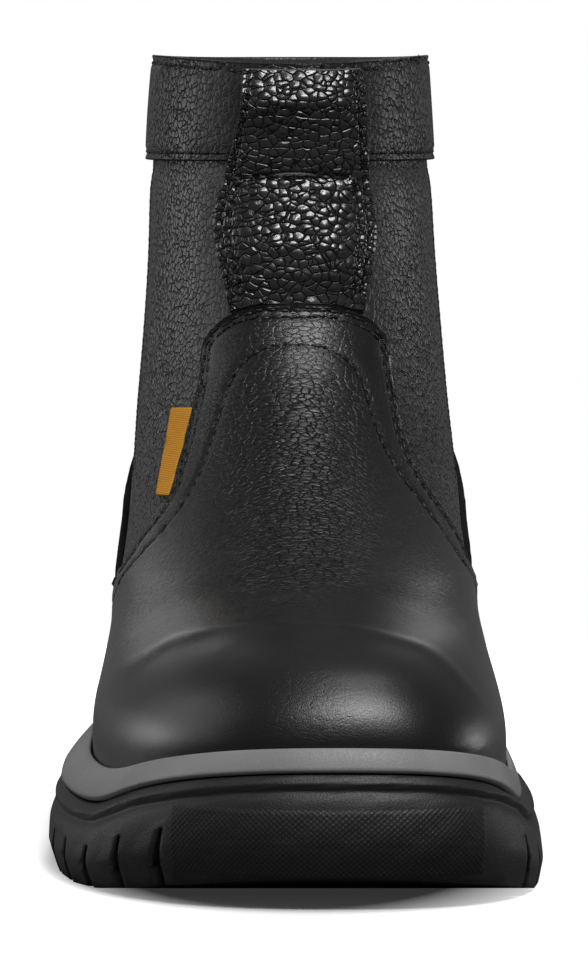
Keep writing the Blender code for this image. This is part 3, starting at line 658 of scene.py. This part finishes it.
# %% Vamp folds
CAP_RIM = ((-47, 36), (-44, 45), (-28, 56), (-15, 59.4), (0, 60.2), (16, 59.5), (31, 56), (42.5, 44.6),
           (47, 35.5))
CAP_VALLEY = ((-46, 50), (-30, 62), (-14, 66), (2, 67), (18, 66), (32, 62), (45, 50))
FOLD_FADE = 0.4
VAMP_FOLDS = (
    # what it is, (x, z) points from the front in mm, width and height in mm
    ("cap rim", CAP_RIM, 4.0, 0.9),
    ("valley behind the cap", CAP_VALLEY, 8.0, -0.5),
    ("first fold", ((-8, 75), (8, 76), (24, 74)), 1.6, -0.10),
    ("second fold", ((-16, 80), (0, 81.5), (14, 81)), 1.4, -0.14),
    ("third fold", ((-4, 88), (8, 88.5), (18, 87)), 1.4, -0.12),
    ("outer flank fold", ((-44, 62), (-36, 74), (-31, 84)), 2.4, -0.25),
    ("inner flank fold", ((45, 60), (38, 72), (33, 84)), 2.4, -0.25),
)

vamp_surface = surface_of(vamp)
for what, line, width, height in VAMP_FOLDS:
    press(vamp, cast_from_front(vamp_surface, line), width * MM, height * MM, FOLD_FADE)
    print("pressed", what)

# %% [markdown]
# ## The strap's swell
# The front strap is thick leather, held down at its foot, its top and a seam across its middle. Between
# them it swells like a small pillow. Cloth simulation could blow it up, but the swell is only about two
# millimetres, so a short table of heights gives it. The table is smoothed, and the swell fades towards the
# strap's long edges. The strap is also flatter across than the shaft behind it, so its sides come forward.

# %% Strap swell
STRAP_SWELL = np.array((
    # height above the floor and how far the strap swells there, in mm
    (126.0, -1.5),
    (130.0, -1.0),
    (136.0, 1.2),
    (143.0, 2.1),
    (156.0, -0.2),
    (159.5, -1.4),
    (162.0, -1.2),
    (170.0, -0.2),
    (174.5, 1.2),
    (178.0, 2.6),
    (182.0, 1.4),
    (187.5, -1.2),
))
SWELL_HEIGHTS = np.arange(120.0, 192.0, 0.25)
SWELL_WINDOW = np.hanning(15)
SWELL_FACING = 0.2
SWELL_FULLNESS = 4
STRAP_HALF_WIDTH = 21.0 * MM
STRAP_FLATTENING = 1.6 * MM
FLATTENED_AT = 12.0 * MM
FLATTENED_FROM = (128.0, 138.0)

swells = np.interp(SWELL_HEIGHTS, *STRAP_SWELL.T)
swells = np.convolve(swells, SWELL_WINDOW / SWELL_WINDOW.sum(), mode="same")
places = columns(strap.data, "co")
outside = columns(strap.data, "normal")[:, 1] < SWELL_FACING
middle = np.clip(1.0 - (np.abs(places[:, 0]) / STRAP_HALF_WIDTH) ** SWELL_FULLNESS, 0.0, 1.0)
places[:, 1] -= outside * middle * np.interp(places[:, 2] / MM, SWELL_HEIGHTS, swells) * MM
flattened = np.interp(places[:, 2] / MM, FLATTENED_FROM, (0.0, STRAP_FLATTENING))
places[:, 1] -= outside * flattened * (1.0 - np.exp(-((places[:, 0] / FLATTENED_AT) ** 2)))
move_to(strap.data, places)
print("strap swell from", swells.min().round(2), "to", swells.max().round(2), "mm")

# %% [markdown]
# ## Seams
# Every overlay is sewn down along its edge, most edges with two rows. A seam's line could be drawn as a
# curve by hand, but it would miss the edge when the piece changes. So a seam starts from the piece itself:
# the edges of its rim are walked end to end, and the run is set in from the rim in short steps over the
# rounded surface, because one long step could land on the back of a strongly curved piece.

# %% Finding a rim
RIM_LIFT = 0.75 * MM
RIM_FACING = 0.5
SHORTEST_RIM = 20.0 * MM
SOLE_CLEARANCE = 5.0 * MM
midsole_surface = surface_of(midsole)


def walk(edges):
    """Joins edges end to end into runs of vertices, from the loose ends first."""
    touching = {}
    for edge in edges:
        for end in edge.verts:
            touching.setdefault(end.index, []).append(edge)
    unused = {edge.index for edge in edges}
    runs = []
    for start in sorted(touching, key=lambda spot: (len(touching[spot]) != 1, spot)):
        run = [start]
        while True:
            onward = [edge for edge in touching[run[-1]] if edge.index in unused]
            if not onward:
                break
            unused.discard(onward[0].index)
            run += [end.index for end in onward[0].verts if end.index != run[-1]]
        if len(run) > 2:
            runs.append(run)
    return runs


def numbered_solid(node):
    """The merged solid of a CAD node, with its elements numbered."""
    solid = merged_solid(node)
    for elements in (solid.verts, solid.edges, solid.faces):
        elements.index_update()
    solid.verts.ensure_lookup_table()
    return solid


def runs_along(solid, edges):
    """Even runs of points along edges of a solid, which is then let go."""
    runs = [even_points([solid.verts[index].co for index in run], LINE_STEP) for run in walk(edges)]
    solid.free()
    return runs


def rim_runs(node, base):
    """Runs of points along the outer rim of an overlay on a base surface, clear of the sole."""
    solid = numbered_solid(node)
    outer = set()
    for face in solid.faces:
        _, base_normal, _, lift = base.find_nearest(face.calc_center_median())
        if lift > RIM_LIFT and face.normal.dot(base_normal) > RIM_FACING:
            outer.add(face.index)
    rim = [edge for edge in solid.edges
           if sum(face.index in outer for face in edge.link_faces) == 1
           and all(midsole_surface.find_nearest(end.co)[3] > SOLE_CLEARANCE for end in edge.verts)]
    return [run for run in runs_along(solid, rim) if len(run) * LINE_STEP > SHORTEST_RIM]


# %% Setting a row in
SIDE_PROBE = 2.0 * MM
INSET_STEP = 2.7 * MM


def set_in(run, inset, face, base):
    """A row a set distance inside a rim, walked over the piece's face in short steps."""
    run = [(Vector(point), Vector(along)) for point, along in zip(run, np.gradient(run, axis=0))]
    votes = 0.0
    for point, along in run:
        probe = along.cross(base.find_nearest(point)[1]).normalized() * SIDE_PROBE
        votes += face.find_nearest(point - probe)[3] - face.find_nearest(point + probe)[3]
    steps = math.ceil(inset / INSET_STEP)
    step = math.copysign(inset / steps, votes)
    row = []
    for spot, along in run:
        for _ in range(steps):
            side = along.cross(base.find_nearest(spot)[1]).normalized()
            spot = face.find_nearest(spot + side * step)[0]
        row.append(spot)
    return row


# %% [markdown]
# ## Stitches
# Along a seam the leather is pulled down a little, and each stitch is a small spindle of thread, half sunk.
# After each stitch lies a flat black dot: painted shade that stands for the dark inside the needle hole.
# A bump pattern could hint at the stitches, but a real spindle catches the light from every side. Stitches
# that another piece covers are left out. A row is made as a mesh of its own, because bmesh operators slow
# down as their mesh grows.

# %% Stitching helpers
STITCH_PITCH = 3.2 * MM
STITCH_LENGTH = 2.5 * MM
THREAD_WIDTH = 0.95 * MM
THREAD_RISE = 0.36 * MM
THREAD_SINK = 0.02 * MM
# Each needle hole is shown by a flat dark dot of painted shade, this wide and rising this far.
HOLE_SHADE_WIDTH = 1.0 * MM
HOLE_SHADE_RISE = 0.12 * MM
BEAD_SIDES = 6
BEAD_RINGS = 4
SEAM_WIDTH = 0.75 * MM
SEAM_DEPTH = 0.70 * MM
SEAM_FADE = 0.03
COVER_START = 0.5 * MM
COVER_REACH = 8.0 * MM


def add_bead(thread, turn, width, rise, length):
    """Adds a small rounded bead, with its length along the seam, and returns its vertices."""
    size = Matrix.Diagonal((width / 2, rise, length / 2, 1.0))
    bead = bmesh.ops.create_uvsphere(thread, u_segments=BEAD_SIDES, v_segments=BEAD_RINGS, radius=1.0,
                                     matrix=turn @ size)
    return bead["verts"]


def stitch_row(row, face, covers, sink):
    """The stitches of one row on a surface, as a mesh, each followed by a dark dot of painted shade for its
    needle hole.
    """
    thread = bmesh.new()
    spots = even_points(row, STITCH_PITCH, rounds=0)
    for spot, along in zip(spots, np.gradient(spots, axis=0)):
        spot, out, _, _ = face.find_nearest(Vector(spot))
        if any(cover.ray_cast(spot + out * COVER_START, out, COVER_REACH)[0] for cover in covers):
            continue
        along = Vector(along).normalized()
        across = out.cross(along).normalized()
        turn = Matrix((across, along.cross(across), along)).transposed().to_4x4()
        turn.translation = spot - out * sink
        add_bead(thread, turn, THREAD_WIDTH, THREAD_RISE, STITCH_LENGTH)
        # Painted shade: a flat dark dot after the stitch stands for the needle hole.
        turn.translation = spot + along * STITCH_PITCH / 2
        for vertex in add_bead(thread, turn, HOLE_SHADE_WIDTH, HOLE_SHADE_RISE, HOLE_SHADE_WIDTH):
            for side in vertex.link_faces:
                side.material_index = 1
    mesh = bpy.data.meshes.new("stitch_row")
    thread.to_mesh(mesh)
    thread.free()
    return mesh


def sew(name, piece, rows, covers, depth=SEAM_DEPTH, sink=THREAD_SINK):
    """Presses rows of stitching into a piece and lays the thread in them."""
    for row in rows:
        press(piece, row, SEAM_WIDTH, -depth, SEAM_FADE)
    face = surface_of(piece)
    thread = bmesh.new()
    for row in rows:
        stitches = stitch_row(row, face, covers, sink)
        thread.from_mesh(stitches)
        bpy.data.meshes.remove(stitches)
    stitching = object_from(thread, name, (black_thread, dyed_edge_and_hole_shade))
    stitching.data.shade_smooth()
    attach(stitching, "root")
    print(f"{name}: {len(rows)} rows, {len(stitching.data.polygons)} faces")


# %% [markdown]
# ## Sewing the overlays
# The vamp has a double row at its edge and a third row further in, the heel counter a double row, and the
# collar one row along each edge. The vamp's inner row is smoothed and laid back on the leather in turns,
# because a curve far inside a bent edge gathers small loops.

# %% Vamp, counter and collar seams
DOUBLE_ROW = (1.1 * MM, 2.6 * MM)
COLLAR_ROW = 1.9 * MM
INNER_ROW = 10.0 * MM
INNER_ROUNDS = 12
INNER_SMOOTHING = 10
upper_surface = surface_of(upper)
collar_surface = surface_of(collar)
strap_surface = surface_of(strap)
vamp_surface = surface_of(vamp)

vamp_rows = []
for run in rim_runs("vamp", upper_base):
    vamp_rows += [set_in(run, inset, vamp_surface, upper_base) for inset in DOUBLE_ROW]
    inner = set_in(run, INNER_ROW, vamp_surface, upper_base)
    for _ in range(INNER_ROUNDS):
        smoothed = even_points(inner, LINE_STEP, INNER_SMOOTHING)
        inner = [vamp_surface.find_nearest(Vector(point))[0] for point in smoothed]
    vamp_rows.append(inner)
sew("vamp_stitching", vamp, vamp_rows, (midsole_surface, surface_of(tag)))
counter_rows = [set_in(run, inset, surface_of(counter), upper_base)
                for run in rim_runs("heel_counter", upper_base) for inset in DOUBLE_ROW]
sew("counter_stitching", counter, counter_rows, (midsole_surface, vamp_surface))
collar_rows = [set_in(run, COLLAR_ROW, collar_surface, upper_base)
               for run in rim_runs("collar_band", upper_base)]
sew("collar_stitching", collar, collar_rows, (strap_surface,))

# %% [markdown]
# ## Sewing the strap
# The strap has one row along each side from its foot to its top, a second row beside it up to the middle,
# and a seam across the middle. Its face is swollen now, so its rim is moved inwards as seen from the front
# and cast back on it, instead of walking over the swell.

# %% Strap seams
STRAP_FOOT = 130.5 * MM
STRAP_CROSS_SEAM = 159.5 * MM
STRAP_TOP = 184.0 * MM
CROSS_SEAM = ((-14.5, 159.3), (0.0, 160.2), (14.5, 159.3))
STRAP_ROWS = ((1.5 * MM, STRAP_TOP), (3.6 * MM, STRAP_CROSS_SEAM))

strap_rows = [cast_from_front(strap_surface, CROSS_SEAM)]
strap_rim = rim_runs("front_strap", upper_base)[0]
for side in (-1.0, 1.0):
    for inset, top in STRAP_ROWS:
        edge = strap_rim[strap_rim[:, 0] * side > 0.0]
        edge = edge[(edge[:, 2] > STRAP_FOOT) & (edge[:, 2] < top)]
        edge = edge[np.argsort(edge[:, 2])]
        strap_rows.append(cast_from_front(strap_surface, (edge[:, (0, 2)] - (side * inset, 0.0)) / MM))
sew("strap_stitching", strap, strap_rows, (vamp_surface,))

# %% [markdown]
# ## Side seams
# The shaft's front and back meet at its sides, where one laps over the other. The lap is a step in the
# upper's wall. The seam could be measured from the floor, but the step's own upright, sharp edges mark it
# best, and the double row runs a little in front of them. It is pressed in less than the overlays' seams.

# %% Side seams
LAP_SLOPE = 0.7
LAP_SEAM_DEPTH = 0.15 * MM
LAP_THREAD_SINK = 0.18 * MM

shell = numbered_solid("upper")
lap_edges = []
for edge in shell.edges:
    first, second = edge.verts
    upright = abs(second.co.z - first.co.z) > LAP_SLOPE * edge.calc_length()
    if upright and edge.is_convex and edge.calc_face_angle(0.0) > SHARP_ANGLE:
        lap_edges.append(edge)
lap_rows = [[upper_surface.find_nearest(Vector(point) - Vector((0.0, inset, 0.0)))[0] for point in run]
            for run in runs_along(shell, lap_edges) for inset in DOUBLE_ROW]
sew("side_stitching", upper, lap_rows, (collar_surface, vamp_surface, surface_of(counter), midsole_surface),
    LAP_SEAM_DEPTH, LAP_THREAD_SINK)

# %% [markdown]
# ## The knurled bumper
# The front of the outsole has a field of fine diamonds between its last side grooves, so that the toe
# grips when the wearer kneels or climbs. Bump would stay flat at the field's edge, so the diamonds are
# modelled. A grid is wrapped round the toe by casting it inwards onto the rubber, with a small pyramid at
# each crossing of two diagonal sets of lines. Its border sinks into the rubber, and it gets a thickness so
# that it is a closed body.

# %% Knurled bumper
KNURL_COLUMNS = 58
KNURL_ROWS = 15
KNURL_DIVIDE = 4
KNURL_HEIGHT = 0.42 * MM
KNURL_BORDER = 2.0
KNURL_SINK = 0.45 * MM
KNURL_BACK = 0.8 * MM
KNURL_LOW = 6.0 * MM
KNURL_HIGH = 25.0 * MM
KNURL_TURN = (math.radians(-29.0), math.radians(39.0))
KNURL_CENTRE = Vector((0.0, -0.085, 0.0))
KNURL_REACH = 0.3
GRID_HALF = 0.5


def ridge(count):
    """A zigzag that is 1 at each whole number and 0 halfway between."""
    return abs(count % 1.0 - 0.5) * 2.0


outsole_surface = surface_of(outsole)
knurl = bmesh.new()
bmesh.ops.create_grid(knurl, x_segments=KNURL_COLUMNS * KNURL_DIVIDE, y_segments=KNURL_ROWS * KNURL_DIVIDE,
                      size=GRID_HALF)
for vertex in knurl.verts:
    across = vertex.co.x + GRID_HALF
    up = vertex.co.y + GRID_HALF
    turn = KNURL_TURN[0] + (KNURL_TURN[1] - KNURL_TURN[0]) * across
    outwards = Vector((math.sin(turn), -math.cos(turn), 0.0))
    height = KNURL_LOW + (KNURL_HIGH - KNURL_LOW) * up
    start = KNURL_CENTRE + outwards * KNURL_REACH + Vector((0.0, 0.0, height))
    spot, normal, _, _ = outsole_surface.ray_cast(start, -outwards)
    column = across * KNURL_COLUMNS
    row = up * KNURL_ROWS
    peak = min(ridge(column + row), ridge(column - row))
    border = min(column, KNURL_COLUMNS - column, row, KNURL_ROWS - row)
    share = min(1.0, border / KNURL_BORDER)
    vertex.co = spot + normal * (share * (KNURL_HEIGHT * peak + KNURL_SINK) - KNURL_SINK)
bmesh.ops.recalc_face_normals(knurl, faces=knurl.faces)
bmesh.ops.solidify(knurl, geom=knurl.faces[:], thickness=KNURL_BACK)
toe_knurl = object_from(knurl, "toe_knurl", (outsole_rubber,))
toe_knurl.data.shade_smooth()
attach(toe_knurl, "root")
print("knurl:", len(toe_knurl.data.polygons), "faces")
